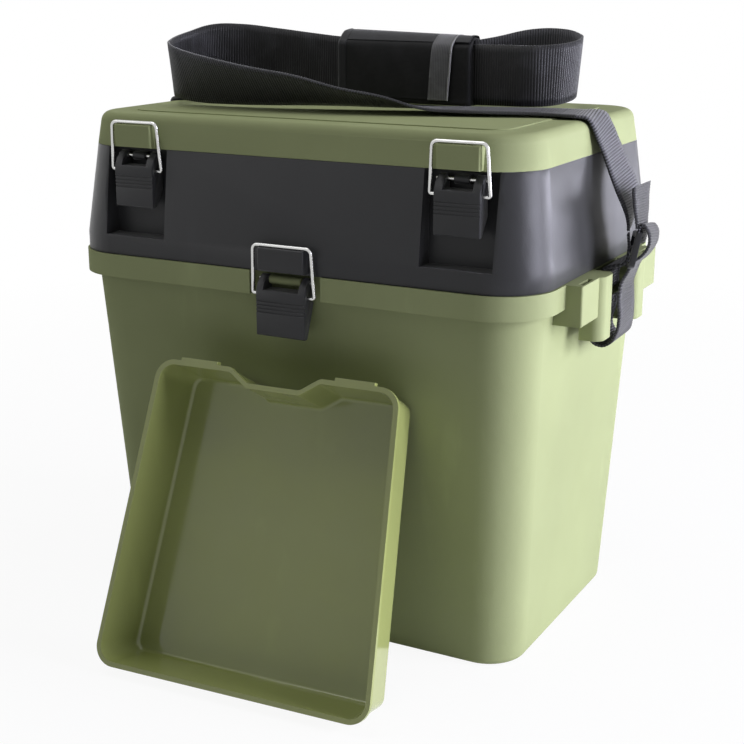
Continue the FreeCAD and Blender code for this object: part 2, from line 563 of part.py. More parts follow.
def case():
    band = slab(CASE_W, CASE_D, CASE_R, CASE_Z, BAND_TOP)
    body = band.fuse(taper(CASE_LOW, CASE_HIGH))
    floor_z = CASE_Z + CASE_FLOOR
    hollow = slab(CASE_W - 2 * CASE_WALL, CASE_D - 2 * CASE_WALL, CASE_R - CASE_WALL,
                  floor_z, BAND_TOP)
    over = between(CASE_LOW, CASE_HIGH, SEAM_Z + 1)
    hollow = hollow.fuse(taper(inset(CASE_LOW, CASE_WALL), inset(over, CASE_WALL)))
    for x in UPPER_AT:
        hollow = hollow.cut(pocket(x, CASE_WALL))
        body = body.cut(pocket(x, 0))
    low_catch = catch(LOWER, -CASE_D / 2 + CASE_WALL / 2)
    body = body.fuse(moved(low_catch, LATCH_SHIFT)).cut(hollow)
    side = LEVER_W_LOW / 2 + RELIEF
    relief = box(-side, side, -CASE_D, LOWER_PIN[0] + KNUCKLE + RELIEF,
                 LOWER_PIN[1] - KNUCKLE, LOWER_PIN[1] + KNUCKLE + RELIEF / 2)
    body = body.cut(moved(relief, LATCH_SHIFT))

    opening = inset(BUCKET_HIGH, WALL + LIP_GAP)
    lip = slab(opening[0], opening[1], opening[2], RIM_TOP - LIP, CASE_Z)
    inner = inset(opening, LIP_WALL)
    lip = lip.cut(slab(inner[0], inner[1], inner[2], RIM_TOP - LIP - 1, CASE_Z))
    body = body.fuse(lip)
    for x in UPPER_AT:
        rear = UPPER_PIN[0] + LEVER_BACK + POCKET_REAR + 1
        body = body.fuse(moved(pin_post(UPPER_PIN, POST_W, rear, SEAM_Z), x))
        body = body.cut(moved(latch_pin(UPPER), x))
    body = with_hinges(body, hinge_inner(CASE_AXIS, CASE_D / 2 - CASE_WALL / 2))
    return with_hinges(body, hinge_outer(LID_AXIS, SEAM_D / 2 - CASE_WALL / 2)).removeSplitter()


# Lid

def lid_ribs(depth_from):
    """A grid of stiffening ribs under the seat."""
    w, d = LID_W - 2 * LID_WALL - 6, LID_D - 2 * LID_WALL - 6
    out = []
    for n in range(-2, 3):
        x = n * w / 5
        out.append(box(x - RIB / 2, x + RIB / 2, -d / 2, d / 2, depth_from - RIB_DEPTH, depth_from))
    for n in range(-1, 2):
        y = n * d / 4
        out.append(box(-w / 2, w / 2, y - RIB / 2, y + RIB / 2, depth_from - RIB_DEPTH, depth_from))
    return out


def lid():
    shell = taper(LID_LOW, LID_HIGH)
    edge = edges_at(shell, lambda p: p.z > SHELL_TOP - 0.01)
    shell = shell.makeFillet(LID_ROUND, edge)
    for x in UPPER_AT:
        shell = shell.fuse(moved(catch(UPPER, -LID_D / 2 + LID_WALL / 2), x))
    ceiling = SHELL_TOP - LID_TOP
    hollow = taper(inset((SEAM_W, SEAM_D, SEAM_R, LID_Z - 1), LID_WALL),
                   inset(between(LID_LOW, LID_HIGH, ceiling), LID_WALL))
    roof = edges_at(hollow, lambda p: p.z > ceiling - 0.01)
    hollow = hollow.makeFillet(LID_ROUND - LID_WALL, roof)
    panel = slab(LID_W - 2 * PANEL_MARGIN, LID_D - 2 * PANEL_MARGIN, PANEL_R, SHELL_TOP - 1, SEAT_Z)
    rim_edge = edges_at(panel, lambda p: p.z > SEAT_Z - 0.01)
    body = shell.fuse(panel.makeFillet(PANEL_RAISE / 2, rim_edge)).cut(hollow)
    for rib in lid_ribs(ceiling + 0.5):
        body = body.fuse(rib)

    opening = inset(CASE_HIGH, CASE_WALL + LIP_GAP)
    lip = slab(opening[0], opening[1], opening[2], SEAM_Z - LIP, LID_Z + 3)
    ledge = inset(CASE_HIGH, LID_WALL * 0.7)
    lip = lip.fuse(slab(ledge[0], ledge[1], ledge[2], LID_Z, LID_Z + 3))
    inner = inset(opening, LIP_WALL)
    lip = lip.cut(slab(inner[0], inner[1], inner[2], SEAM_Z - LIP - 1, LID_Z + 4))
    for x in UPPER_AT:
        half = POCKET_W / 2 + CASE_WALL + LIP_GAP
        rear = UPPER_PIN[0] + LEVER_BACK + POCKET_REAR + CASE_WALL + LIP_GAP
        lip = lip.cut(box(x - half, x + half, -CASE_D, rear, SEAM_Z - LIP - 1, LID_Z))
    body = body.fuse(lip)
    return with_hinges(body, hinge_inner(LID_AXIS, SEAM_D / 2 - LID_WALL / 2)).removeSplitter()


# Tray

def tray_outline(by, z):
    """The tray's plan at height z, drawn in by this much: rounded corners and a finger bay at the far end."""
    low, top = TRAY_W_LOW / 2 - by, TRAY_W_TOP / 2 - by
    y0, y1 = by, TRAY_L - by
    r = TRAY_R + (TRAY_FOOT_R - TRAY_R) * min(by / TRAY_DRAFT, 1.0)
    flat, mouth, deep = BAY_FLAT / 2, BAY_W / 2, BAY_DEEP
    corners = [
        (low, y0, r), (top, y1, r), (mouth, y1, 6.0), (flat, y1 - deep, 6.0),
        (-flat, y1 - deep, 6.0), (-mouth, y1, 6.0), (-top, y1, r), (-low, y0, r),
    ]
    return filleted(corners, z)


def filleted(corners, z):
    """A closed wire through corners, each (x, y, radius), rounded by tangent arcs."""
    edges, ends = [], []
    count = len(corners)
    points = [vec(x, y, z) for x, y, _ in corners]
    for n in range(count):
        arc, start, end = corner_arc(points[n - 1], points[n], points[(n + 1) % count], corners[n][2])
        edges.append(arc)
        ends.append((start, end))
    sides = []
    for n in range(count):
        sides.append(edges[n])
        sides.append(Part.LineSegment(ends[n][1], ends[(n + 1) % count][0]).toShape())
    return Part.Wire(sides)


def tray_lying():
    """The tray on its back, its floor down and its finger bay at the far end."""
    outer = Part.makeLoft([tray_outline(TRAY_DRAFT, 0), tray_outline(0, TRAY_DEEP)], True, True)
    outer = outer.makeFillet(TRAY_ROUND, edges_at(outer, lambda p: p.z < 0.01))
    lip = Part.Face(tray_outline(TRAY_WALL - TRAY_LIP, TRAY_DEEP - TRAY_LIP_H))
    outer = outer.fuse(lip.extrude(vec(0, 0, TRAY_LIP_H)))
    slope = TRAY_DRAFT / TRAY_DEEP
    floor_by = TRAY_DRAFT - slope * TRAY_WALL + TRAY_WALL
    hollow = Part.makeLoft([tray_outline(floor_by, TRAY_WALL),
                            tray_outline(TRAY_WALL - slope, TRAY_DEEP + 1)], True, True)
    floor = edges_at(hollow, lambda p: p.z < TRAY_WALL + 0.01)
    hollow = hollow.makeFillet(TRAY_ROUND - TRAY_WALL / 2, floor)
    body = outer
    for side in (-1, 1):
        x = side * TAB_X
        tab = box(x - TAB_W / 2, x + TAB_W / 2, TRAY_L - 3, TRAY_L + TAB_OUT,
                  TRAY_DEEP - TAB_H, TRAY_DEEP)
        body = body.fuse(tab)
    return body.cut(hollow).removeSplitter()


# Strap and pad

def smooth(points, count):
    """Evenly many points on a smooth curve through the guide points."""
    p = [vec(*q) for q in points]
    h = [(b - a).Length for a, b in zip(p, p[1:])]
    slope = [(b - a) * (1 / d) for a, b, d in zip(p, p[1:], h)]
    turn = [slope[0]]
    for n in range(1, len(h)):
        turn.append((slope[n] * h[n - 1] + slope[n - 1] * h[n]) * (1 / (h[n] + h[n - 1])))
    turn.append(slope[-1])
    out = []
    for n in range(count + 1):
        at = n / count * len(h)
        k = min(int(at), len(h) - 1)
        t = at - k
        out.append(p[k] * (2 * t ** 3 - 3 * t ** 2 + 1) + p[k + 1] * (3 * t ** 2 - 2 * t ** 3)
                   + turn[k] * (h[k] * (t ** 3 - 2 * t ** 2 + t))
                   + turn[k + 1] * (h[k] * (t ** 3 - t ** 2)))
    return out


def spread(point):
    """A strap point, moved out with the rim when the rim's width changes."""
    x, y, z = point
    return (x + (RIM_W - STRAP_PLAN_W) / 2 * max(-1.0, min(1.0, x / STRAP_PLAN_END)), y, z)


def ribbon(guides, count):
    """Webbing whose two edges follow the guide points."""
    near, far = (smooth([spread(pair[side]) for pair in guides], count) for side in (0, 1))
    sections = []
    for n, (a, b) in enumerate(zip(near, far)):
        one, two = max(n - 1, 0), min(n + 1, count)
        ahead = near[two] + far[two] - near[one] - far[one]
        face = ahead.cross(b - a)
        face.normalize()
        thick = face * (WEB_T / 2)
        sections.append(Part.makePolygon([a - thick, b - thick, b + thick, a + thick, a - thick]))
    return Part.makeLoft(sections, True, True)


def buckle():
    """A flat frame with a middle bar; the webbing lies on both sides of it."""
    w, h, t = BUCKLE_W / 2, BUCKLE_H / 2, BUCKLE_T / 2
    plate = box(-t, t, -w, w, -h, h)
    corners = [e for e in plate.Edges if abs(e.Vertexes[0].X - e.Vertexes[1].X) > 1]
    plate = plate.makeFillet(4.0, corners)
    slot = (BUCKLE_H - 3 * BUCKLE_BAR) / 2
    for low in (-h + BUCKLE_BAR, BUCKLE_BAR / 2):
        plate = plate.cut(box(-t - 1, t + 1, -w + BUCKLE_SIDE, w - BUCKLE_SIDE, low, low + slot))
    along = vec(*BUCKLE_AIM)
    along.normalize()
    out = along.cross(vec(*BUCKLE_UP))
    out.normalize()
    up = out.cross(along)
    x, y, z = spread(BUCKLE_AT)
    place = FreeCAD.Matrix(out.x, along.x, up.x, x, out.y, along.y, up.y, y,
                           out.z, along.z, up.z, z, 0, 0, 0, 1)
    return plate.transformGeometry(place)


def pad_end(end, out, drop):
    """The pad's outline across its length: flat sides, a sloped top with cut corners."""
    (x, y0), (_, y1), low, front, back = end
    y0, y1, c = y0 - out, y1 + out, PAD_CORNER
    return [vec(x, y0, low + drop), vec(x, y0, front - c), vec(x, y0 + c, front + out),
            vec(x, y1 - c, back + out), vec(x, y1, back - c), vec(x, y1, low + drop)]


def mix(a, b, t):
    return [p + (q - p) * t for p, q in zip(a, b)]


def pad():
    left, right = pad_end(PAD_LEFT, 0, 0), pad_end(PAD_RIGHT, 0, 0)
    body = Part.makeLoft([Part.makePolygon(left + left[:1]), Part.makePolygon(right + right[:1])],
                         True, True)
    left, right = pad_end(PAD_LEFT, PAD_FLAP, 2.0), pad_end(PAD_RIGHT, PAD_FLAP, 5.0)
    near, far = mix(left, right, 0.02), mix(left, right, PAD_FLAP_END)
    body = body.fuse(Part.makeLoft([Part.makePolygon(near + near[:1]),
                                    Part.makePolygon(far + far[:1])], True, True))
    ends = []
    for end, reach in ((PAD_LEFT, -4.0), (PAD_RIGHT, 4.0)):
        (x, y0), (_, y1), low, front, back = end
        y, z = (y0 + y1) / 2, (front + back) / 2 + 0.5
        x, r = x + reach, PAD_ROOM / 2
        ends.append(Part.makePolygon([vec(x, y - r, low - 9), vec(x, y - r, z), vec(x, y + r, z),
                                      vec(x, y + r, low - 9), vec(x, y - r, low - 9)]))
    return body.cut(Part.makeLoft(ends, True, True)).removeSplitter()


def bucket_front(z):
    return -between(BUCKET_LOW, BUCKET_HIGH, z)[1] / 2


def tray():
    """The tray stood on its foot and leant back on the bucket's front."""
    body = tray_lying()
    body.translate(vec(0, -TRAY_DRAFT, 0))
    body.rotate(vec(0, 0, 0), X_AXIS, 90 - TRAY_LEAN)
    body.rotate(vec(0, 0, 0), Z_AXIS, TRAY_TURN)
    touch = None
    for vertex in body.Vertexes:
        p = vertex.Point
        room = bucket_front(max(p.z, 0.0)) - TRAY_TOUCH - p.y
        touch = room if touch is None else min(touch, room)
    low = body.optimalBoundingBox(False).ZMin
    body.translate(vec(TRAY_X, touch, -low))
    return body


NODES = {
    "bucket": bucket,
    "case": case,
    "lid": lid,
    "tray": tray,
}


def save(name, shape):
    shape.exportStep("parts/" + name + ".step")


def main():
    for name, make in NODES.items():
        save(name, make())
    places = (("left", UPPER_AT[0], UPPER), ("right", UPPER_AT[1], UPPER),
              ("centre", LATCH_SHIFT, LOWER))
    for name, x, latch in places:
        save("latch_lever_" + name, moved(lever(latch), x))
        save("latch_bail_" + name, moved(bail(latch), x))
        save("latch_pin_" + name, moved(latch_pin(latch), x))
    for name, make in (("case_hinge_pin", lambda: hinge_pin(CASE_AXIS)),
                       ("lid_hinge_pin", lambda: hinge_pin(LID_AXIS)),
                       ("strap_bar", strap_bar)):
        save(name + "_right", make())
        save(name + "_left", mirrored(make()))
    save("strap_top", ribbon(STRAP_TOP, 4 * (len(STRAP_TOP) - 1)))
    for name, make in (("strap_side", lambda: ribbon(STRAP_SIDE, 3 * (len(STRAP_SIDE) - 1))),
                       ("strap_loop", lambda: ribbon(STRAP_LOOP, 3 * (len(STRAP_LOOP) - 1))),
                       ("strap_buckle", buckle)):
        save(name + "_right", make())
        save(name + "_left", mirrored(make()))
    save("shoulder_pad", pad())


main()
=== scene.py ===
# %% [markdown]
# # Fishing seat box
# A moulded bucket with a hinged case and a seat lid on it. Three lever latches with wire bails hold
# it shut, a webbing strap with a shoulder pad lies on the lid, and a lift-out tray leans on its
# front. The hard parts come in as a finished CAD frame. This script dresses them, and makes the
# soft parts.
#
# First the frame is loaded, and its pieces are hung on their bodies.

# %% Frame
import json
import math

import bmesh
import bpy
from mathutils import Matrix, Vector
from mathutils.geometry import interpolate_bezier
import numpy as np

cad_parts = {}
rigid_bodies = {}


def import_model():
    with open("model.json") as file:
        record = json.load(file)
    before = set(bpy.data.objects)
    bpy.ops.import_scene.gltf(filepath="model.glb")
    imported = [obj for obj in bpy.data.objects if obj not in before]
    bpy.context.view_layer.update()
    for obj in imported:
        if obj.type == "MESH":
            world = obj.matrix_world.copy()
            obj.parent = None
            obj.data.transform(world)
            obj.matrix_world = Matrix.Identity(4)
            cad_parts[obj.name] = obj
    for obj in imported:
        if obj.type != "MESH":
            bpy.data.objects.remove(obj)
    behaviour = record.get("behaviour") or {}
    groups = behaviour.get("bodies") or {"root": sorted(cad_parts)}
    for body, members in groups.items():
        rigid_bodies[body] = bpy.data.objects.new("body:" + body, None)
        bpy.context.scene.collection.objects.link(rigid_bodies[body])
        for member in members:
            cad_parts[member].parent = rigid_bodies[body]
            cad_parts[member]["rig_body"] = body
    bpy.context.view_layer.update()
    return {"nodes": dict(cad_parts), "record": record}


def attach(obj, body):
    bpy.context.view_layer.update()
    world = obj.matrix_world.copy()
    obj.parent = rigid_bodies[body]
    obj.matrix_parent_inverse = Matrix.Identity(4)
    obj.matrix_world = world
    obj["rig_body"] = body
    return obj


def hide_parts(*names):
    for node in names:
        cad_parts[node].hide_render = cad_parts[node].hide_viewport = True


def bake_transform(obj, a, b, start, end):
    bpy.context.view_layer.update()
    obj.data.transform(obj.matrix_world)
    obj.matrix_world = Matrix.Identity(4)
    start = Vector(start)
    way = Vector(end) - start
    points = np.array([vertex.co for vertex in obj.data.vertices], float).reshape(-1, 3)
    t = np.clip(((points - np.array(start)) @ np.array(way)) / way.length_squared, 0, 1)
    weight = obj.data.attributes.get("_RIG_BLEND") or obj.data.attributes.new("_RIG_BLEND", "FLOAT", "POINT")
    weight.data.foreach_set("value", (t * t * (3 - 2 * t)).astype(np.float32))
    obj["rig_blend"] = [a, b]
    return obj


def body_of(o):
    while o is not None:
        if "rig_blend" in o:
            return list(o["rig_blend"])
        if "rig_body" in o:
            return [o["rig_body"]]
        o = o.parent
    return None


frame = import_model()
nodes = frame["nodes"]

# %% [markdown]
# ## Camera
# The photograph was taken from a little above the lid, to the right of the latches, with a normal
# lens. The camera's place and turn were found by fitting known corners of the box, so every edge
# falls where it does in the photograph.

# %% Camera
camera = bpy.data.objects.new("camera", bpy.data.cameras.new("camera"))
camera.data.sensor_width = 36.0
camera.data.lens = 68.2
camera.location = (0.5182, -0.9663, 0.4887)
camera.rotation_euler = [math.radians(a) for a in (74.11, 0.0, 28.12)]
bpy.context.scene.collection.objects.link(camera)
bpy.context.scene.camera = camera
bpy.context.scene.view_settings.view_transform = "Standard"
print("camera: lens", camera.data.lens, "mm")

# %% [markdown]
# ## Light
# A product photograph like this has one wide, soft lamp. Here it stands to the right, so the right
# side is nearly white and the front is in its own shade. Three weaker lamps help it: one behind on
# the right rims the far corner, one above lights the lid, and one in front on the left opens the
# front and the tray. The world fills the shadows a little, and shows white to the camera and in
# reflections.

# %% Lamps and world
def area_lamp(name, place, aim, size, power, colour=(1.0, 1.0, 1.0)):
    lamp = bpy.data.objects.new(name, bpy.data.lights.new(name, "AREA"))
    lamp.data.shape = "RECTANGLE"
    lamp.data.size, lamp.data.size_y = size
    lamp.data.energy = power
    lamp.data.color = colour
    lamp.location = place
    lamp.rotation_euler = (Vector(aim) - Vector(place)).to_track_quat("-Z", "Y").to_euler()
    bpy.context.scene.collection.objects.link(lamp)


AMBIENT = 0.08
COOL = (0.95, 0.95, 1.12)
area_lamp("side_lamp", (1.90, 0.22, 0.60), (0.15, 0.0, 0.2), (0.9, 1.3), 52.0, COOL)
area_lamp("back_lamp", (1.50, 1.60, 0.35), (0.15, 0.0, 0.2), (0.9, 0.7), 24.0, COOL)
area_lamp("top_lamp", (-0.4, -0.1, 1.9), (0.0, 0.0, 0.3), (1.5, 1.0), 11.0)
area_lamp("front_lamp", (-1.5, -1.2, 1.5), (-0.1, 0.0, 0.2), (1.0, 1.2), 3.5)


def add(tree, kind, **sockets):
    """A new shader node, with the given sockets set."""
    new = tree.nodes.new("ShaderNode" + kind)
    for socket, value in sockets.items():
        new.inputs[socket.replace("_", " ")].default_value = value
    return new


def seen_directly(tree):
    """1 for what the camera, a gloss or a clear piece sees, and 0 for light."""
    path = add(tree, "LightPath")
    total = path.outputs["Is Camera Ray"]
    for kind in ("Is Glossy Ray", "Is Transmission Ray"):
        most = add(tree, "Math")
        most.operation = "MAXIMUM"
        tree.links.new(total, most.inputs[0])
        tree.links.new(path.outputs[kind], most.inputs[1])
        total = most.outputs[0]
    return total


world = bpy.data.worlds.new("studio")
bpy.context.scene.world = world
world.use_nodes = True
sky = world.node_tree.nodes["Background"]
level = add(world.node_tree, "MapRange", To_Min=AMBIENT, To_Max=1.0)
world.node_tree.links.new(seen_directly(world.node_tree), level.inputs["Value"])
world.node_tree.links.new(level.outputs["Result"], sky.inputs["Strength"])
sky.inputs["Color"].default_value = (1.0, 1.0, 1.0, 1.0)

# %% [markdown]
# ## Floor
# The box stands on a white sweep whose edge can't be seen. A plane that glows does that. Close to
# the box a share of plain white paint is mixed in, which keeps the object's soft shadow, and with
# distance the paint gives way to the glow, so that the plane ends in the same white as the world
# behind it.

# %% Floor
FLOOR_SIZE = 6.0
FLOOR_GLOW = 0.92
GLOW_RISES_FROM = 0.3
CLEAR_WHITE_AT = 1.3


def new_material(name):
    material = bpy.data.materials.new(name)
    material.use_nodes = True
    return material.node_tree, material.node_tree.nodes["Principled BSDF"], material


def new_piece(name, mesh):
    """A bmesh as an object of that name, with smooth faces."""
    data = bpy.data.meshes.new(name)
    mesh.to_mesh(data)
    mesh.free()
    piece = bpy.data.objects.new(name, data)
    bpy.context.scene.collection.objects.link(piece)
    data.shade_smooth()
    return piece


mesh = bmesh.new()
bmesh.ops.create_grid(mesh, x_segments=1, y_segments=1, size=FLOOR_SIZE)
floor = new_piece("floor", mesh)
tree, paint, floor_paint = new_material("floor_paint")
paint.inputs["Base Color"].default_value = (0.9, 0.9, 0.9, 1.0)
paint.inputs["Roughness"].default_value = 0.9
glow = add(tree, "Emission", Strength=1.0)
spot = add(tree, "TexCoord")
reach = add(tree, "VectorMath")
reach.operation = "LENGTH"
tree.links.new(spot.outputs["Object"], reach.inputs[0])
far = add(tree, "MapRange", From_Min=GLOW_RISES_FROM, From_Max=CLEAR_WHITE_AT,
          To_Min=FLOOR_GLOW, To_Max=1.0)
tree.links.new(reach.outputs["Value"], far.inputs["Value"])
share = add(tree, "Math")
share.operation = "MULTIPLY"
mix = add(tree, "MixShader")
tree.links.new(seen_directly(tree), share.inputs[0])
tree.links.new(far.outputs["Result"], share.inputs[1])
tree.links.new(share.outputs[0], mix.inputs["Fac"])
tree.links.new(paint.outputs[0], mix.inputs[1])
tree.links.new(glow.outputs[0], mix.inputs[2])
tree.links.new(mix.outputs[0], tree.nodes["Material Output"].inputs["Surface"])
floor.data.materials.append(floor_paint)
print("floor:", floor.dimensions[:])

# %% [markdown]
# ## Moulded plastic
# The bucket and lid are olive polypropylene from a lightly textured mould, the case and levers are
# black plastic with more sheen, and the tray is a thin, glossy moulding. All three are one kind of
# material: a base colour that drifts a little, a fine grain in the surface, and a gloss that faint
# scuffs break. Only the numbers differ, so one function makes them all.

# %% Plastic
def link(tree, start, out, end, into):
    tree.links.new(start.outputs[out], end.inputs[into])


def noise(tree, scale, detail=2.0, stretch=None):
    """A noise pattern on the piece's own coordinates, in metres."""
    place = add(tree, "TexCoord")
    pattern = add(tree, "TexNoise", Scale=scale, Detail=detail)
    if stretch is None:
        link(tree, place, "Object", pattern, "Vector")
    else:
        turn = add(tree, "Mapping", Scale=stretch)
        link(tree, place, "Object", turn, "Vector")
        link(tree, turn, "Vector", pattern, "Vector")
    return pattern


def spread(tree, source, out, low, high, to_low, to_high):
    """source's values between low and high, spread from to_low to to_high."""
    new = add(tree, "MapRange", From_Min=low, From_Max=high, To_Min=to_low, To_Max=to_high)
    link(tree, source, out, new, "Value")
    return new


def mixed(tree, share, first, second):
    """Two colours mixed by a share between 0 and 1; a colour or the node that gives it."""
    new = tree.nodes.new("ShaderNodeMix")
    new.data_type = "RGBA"
    link(tree, share, 0, new, 0)
    for socket, value in ((6, first), (7, second)):
        if isinstance(value, tuple):
            new.inputs[socket].default_value = (*value, 1.0)
        else:
            link(tree, value, 2, new, socket)
    return new


def bumped(tree, shader, pattern, out, depth, strength=1.0, under=None):
    """The pattern as a bump of that depth in metres."""
    bump = add(tree, "Bump", Strength=strength, Distance=depth)
    link(tree, pattern, out, bump, "Height")
    if under is not None:
        link(tree, under, "Normal", bump, "Normal")
    link(tree, bump, "Normal", shader, "Normal")
    return bump


def tinted(colour, by):
    return tuple(min(1.0, c * by) for c in colour)


def plastic(name, colour, gloss, grain, grain_depth, drift, scuff, shine, wax):
    """A moulded plastic: grain is how fine its texture is, drift how far its colour wanders."""
    tree, shader, material = new_material(name)
    shader.inputs["Specular IOR Level"].default_value = shine
    shader.inputs["Sheen Weight"].default_value = wax
    shader.inputs["Sheen Roughness"].default_value = 0.45
    clouds = spread(tree, noise(tree, 9.0, 3.0), "Fac", 0.3, 0.7, 0.0, 1.0)
    base = mixed(tree, clouds, tinted(colour, 1 - drift), tinted(colour, 1 + drift))
    marks = spread(tree, noise(tree, 40.0, 6.0, (1.0, 1.0, 0.22)), "Fac", 0.62, 0.78, 0.0, scuff)
    worn = mixed(tree, marks, base, tinted(colour, 1.35))
    link(tree, worn, 2, shader, "Base Color")
    haze = spread(tree, noise(tree, 26.0, 5.0), "Fac", 0.3, 0.7, gloss - 0.05, gloss + 0.07)
    link(tree, haze, "Result", shader, "Roughness")
    wave = bumped(tree, shader, noise(tree, 14.0, 1.0), "Fac", 0.0012, 0.25)
    bumped(tree, shader, noise(tree, grain, 2.0), "Fac", grain_depth, 0.8, wave)
    return material


OLIVE = (0.305, 0.340, 0.172)
BLACK = (0.014, 0.0145, 0.016)
TRAY_OLIVE = (0.290, 0.325, 0.110)
finishes = {
    "olive_plastic": plastic("olive_plastic", OLIVE, gloss=0.68, grain=900.0, grain_depth=0.00006,
                             drift=0.05, scuff=0.3, shine=0.07, wax=0.0),
    "black_plastic": plastic("black_plastic", BLACK, gloss=0.42, grain=1100.0, grain_depth=0.00007,
                             drift=0.12, scuff=0.5, shine=0.28, wax=0.4),
    "tray_plastic": plastic("tray_plastic", TRAY_OLIVE, gloss=0.11, grain=500.0, grain_depth=0.00001,
                            drift=0.05, scuff=0.2, shine=0.5, wax=0.0),
}
print("plastics:", list(finishes))

# %% [markdown]
# ## Steel
# The bails, pins and bars are bright drawn wire. Drawing leaves fine lines along the wire, which a
# very fine noise in the gloss and the bump stands for.

# %% Steel
tree, shader, steel = new_material("steel")
shader.inputs["Base Color"].default_value = (0.56, 0.56, 0.55, 1.0)
shader.inputs["Metallic"].default_value = 1.0
drawn = spread(tree, noise(tree, 300.0, 4.0), "Fac", 0.3, 0.7, 0.16, 0.34)
link(tree, drawn, "Result", shader, "Roughness")
bumped(tree, shader, noise(tree, 1500.0, 2.0), "Fac", 0.00002, 0.5)
finishes["steel"] = steel
print("steel:", steel.name)

# %% [markdown]
# ## Webbing and pad cloth
# The webbing is woven nylon. Its cross ribs are real geometry further on; the material paints their
# light and shade, with a pattern that follows the strap's own map: u along it, in step with its ribs,
# and v across it. Its colour is painted shade, dark in the rib valleys, and painted highlight, light
# on the crests. The pad's cloth is smoother, a fine plain weave of darker and lighter yarn, and is
# drawn on the piece's coordinates instead, because its mesh is made again after it is stuffed.

# %% Cloth
RIBS_PER_UNIT = 50.0


def waves(tree, source, out, axis, count):
    """count waves a metre, or a map unit, along one axis."""
    turn = add(tree, "Mapping", Scale=tuple(count / 10 if a == axis else 0.0 for a in "XYZ"))
    link(tree, source, out, turn, "Vector")
    bands = add(tree, "TexWave", Scale=math.pi, Distortion=0.6, Detail=1.0)
    bands.bands_direction = axis
    link(tree, turn, "Vector", bands, "Vector")
    return bands


def product(tree, first, out, second, into):
    new = add(tree, "Math")
    new.operation = "MULTIPLY"
    tree.links.new(first.outputs[out], new.inputs[0])
    tree.links.new(second.outputs[into], new.inputs[1])
    return new


def cloth(name, colour, roughness, shine, sheen, first, second, depth, valley_tone_and_shade=0.55, crest_tone_and_highlight=1.25):
    """Cloth whose weave is two crossed wave patterns, each (source, out, axis, count)."""
    tree, shader, material = new_material(name)
    spots = add(tree, "TexCoord")
    weave = product(tree, waves(tree, spots, *first), "Fac", waves(tree, spots, *second), "Fac")
    # The colour runs from the valley tone to the crest tone across the weave. On the webbing it is painted
    # shade in the rib valleys and painted highlight on the crests; on the pad it is the weave's own tone.
    yarns_and_rib_shade = mixed(tree, weave, tinted(colour, valley_tone_and_shade), tinted(colour, crest_tone_and_highlight))
    dust = spread(tree, noise(tree, 60.0, 4.0), "Fac", 0.45, 0.8, 0.0, 0.5)
    link(tree, mixed(tree, dust, yarns_and_rib_shade, tinted(colour, 1.7)), 2, shader, "Base Color")
    shader.inputs["Roughness"].default_value = roughness
    shader.inputs["Specular IOR Level"].default_value = shine
    shader.inputs["Sheen Weight"].default_value = sheen
    fuzz = bumped(tree, shader, noise(tree, 2500.0, 2.0), "Fac", 0.0001, 0.5)
    bumped(tree, shader, weave, "Value", depth, 0.9, fuzz)
    return material


RIBS = ("UV", "X", RIBS_PER_UNIT)
PLAIN_WEAVE = {"first": ("Object", "X", 1100.0), "second": ("Object", "Z", 1100.0), "depth": 0.00008}
TAPE_WEAVE = {"first": ("Object", "X", 700.0), "second": ("Object", "Z", 1400.0), "depth": 0.00012}
# The webbing's strong valley and crest tones are painted shade and painted highlight on its ribs.
finishes["webbing"] = cloth("webbing", (0.036, 0.036, 0.041), roughness=0.45, shine=0.2, sheen=0.2,
                            first=RIBS, second=RIBS, depth=0.0002, valley_tone_and_shade=0.15, crest_tone_and_highlight=2.4)
finishes["pad_cloth"] = cloth("pad_cloth", (0.017, 0.0172, 0.018), roughness=0.6, shine=0.1,
                              sheen=0.06, **PLAIN_WEAVE)
finishes["pad_tape"] = cloth("pad_tape", (0.19, 0.19, 0.20), roughness=0.5, shine=0.15,
                             sheen=0.2, **TAPE_WEAVE)
finishes["pad_tape_dark"] = cloth("pad_tape_dark", (0.025, 0.0255, 0.028), roughness=0.55,
                                  shine=0.12, sheen=0.15, **TAPE_WEAVE)
# A pale grey for the strip that paints the highlight of the flap's lit end edge.
finishes["pad_edge_highlight"] = cloth("pad_edge_highlight", (0.50, 0.50, 0.505), roughness=0.5, shine=0.15,
                             sheen=0.2, **TAPE_WEAVE)

slot_of = {row["node"]: row["material_slot"] for row in frame["record"]["subparts"]}
for name, piece in nodes.items():
    piece.data.materials.clear()
    piece.data.materials.append(finishes[slot_of[name]])
print("finishes:", list(finishes))

# %% [markdown]
# ## Softened hard parts
# No moulded edge is sharp: the mould's corners are rounded by half a millimetre or more, and that
# thin line of light is what makes an edge look real. The CAD pieces keep their exact faces, so the
# case, the lid, the levers and the buckles are copied. Each copy is merged, its flat faces are
# joined again, and a Bevel modifier rounds what is sharper than an angle. The bucket and the tray
# have their roundings in the CAD already. The buckles hang in the strap's pull, which leans them
# outwards, so their copies are sheared a little.

# %% Softened copies
SHARPER_THAN = math.radians(32.0)


